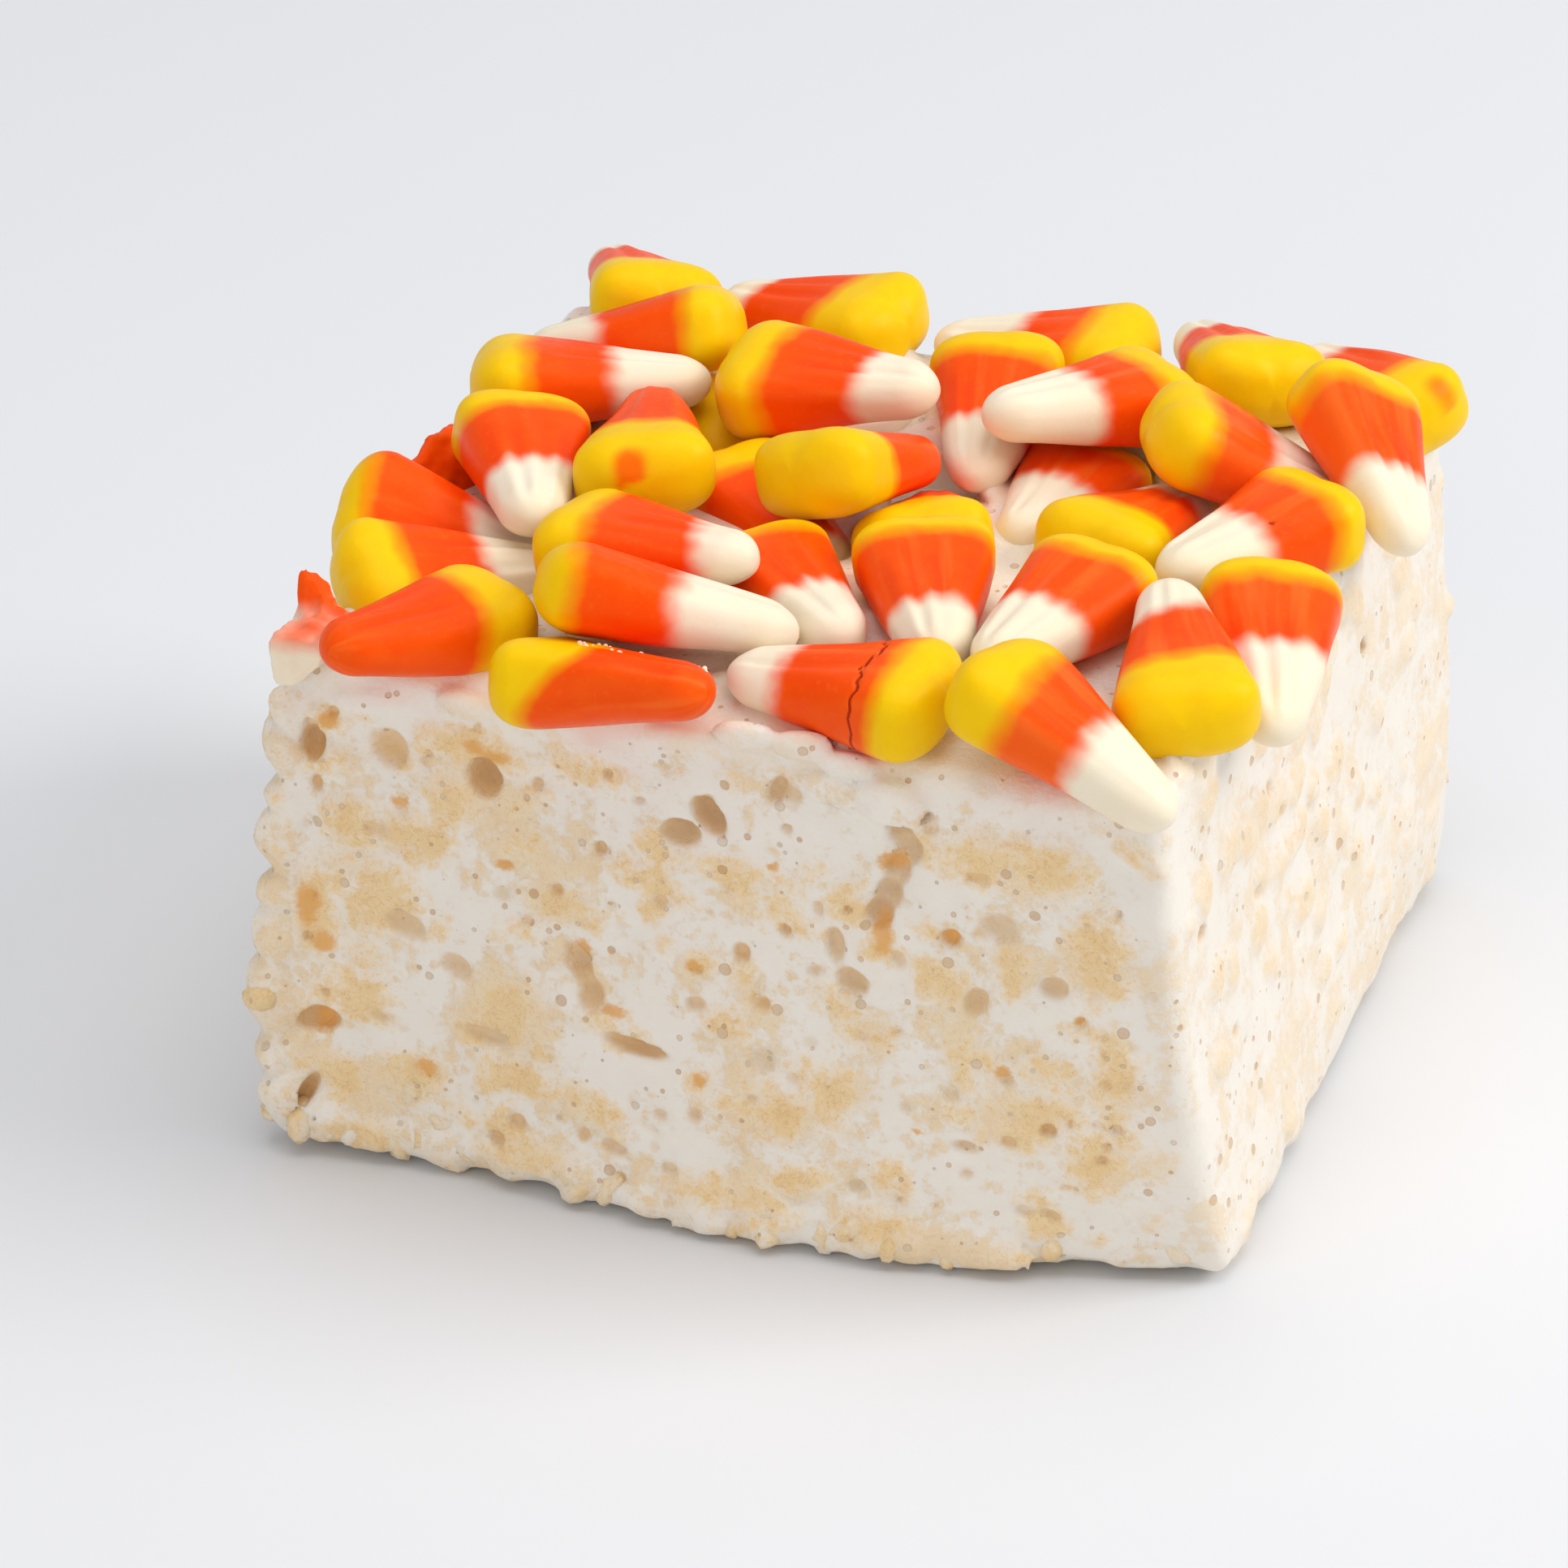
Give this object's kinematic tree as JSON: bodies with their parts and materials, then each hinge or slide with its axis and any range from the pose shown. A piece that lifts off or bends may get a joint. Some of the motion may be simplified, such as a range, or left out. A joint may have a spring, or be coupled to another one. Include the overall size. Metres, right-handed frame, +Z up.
{
  "type": "rice crispy treat",
  "caption": "Cut block of puffed rice held in marshmallow, its top pressed full of wedge-shaped striped sugar candies.",
  "frame": {"origin": "on the surface the block rests on, under the middle of the block", "axes": "+Z up, -Y out of the cut front face, +X to the right when facing the front"},
  "size_m": [0.0887, 0.0832, 0.0574],
  "materials": {
    "marshmallow_and_rice": "matt, sticky marshmallow with pale puffed grains",
    "candy_sugar": "waxy satin sugar, yellow wide end, orange middle and cream tip"
  },
  "bodies": {
    "root": {"treat_block": "marshmallow_and_rice", "candy_01": "candy_sugar", "candy_02": "candy_sugar", "candy_03": "candy_sugar", "candy_04": "candy_sugar", "candy_05": "candy_sugar", "candy_06": "candy_sugar", "candy_07": "candy_sugar", "candy_08": "candy_sugar", "candy_09": "candy_sugar", "candy_10": "candy_sugar", "candy_11": "candy_sugar", "candy_12": "candy_sugar", "candy_13": "candy_sugar", "candy_14": "candy_sugar", "candy_15": "candy_sugar", "candy_16": "candy_sugar", "candy_17": "candy_sugar", "candy_18": "candy_sugar", "candy_19": "candy_sugar", "candy_20": "candy_sugar", "candy_21": "candy_sugar", "candy_22": "candy_sugar", "candy_23": "candy_sugar", "candy_24": "candy_sugar", "candy_25": "candy_sugar", "candy_26": "candy_sugar", "candy_27": "candy_sugar", "candy_28": "candy_sugar", "candy_29": "candy_sugar", "candy_30": "candy_sugar", "candy_31": "candy_sugar", "candy_32": "candy_sugar", "candy_33": "candy_sugar", "candy_34": "candy_sugar", "candy_35": "candy_sugar", "candy_36": "candy_sugar"}
  },
  "joints": []
}
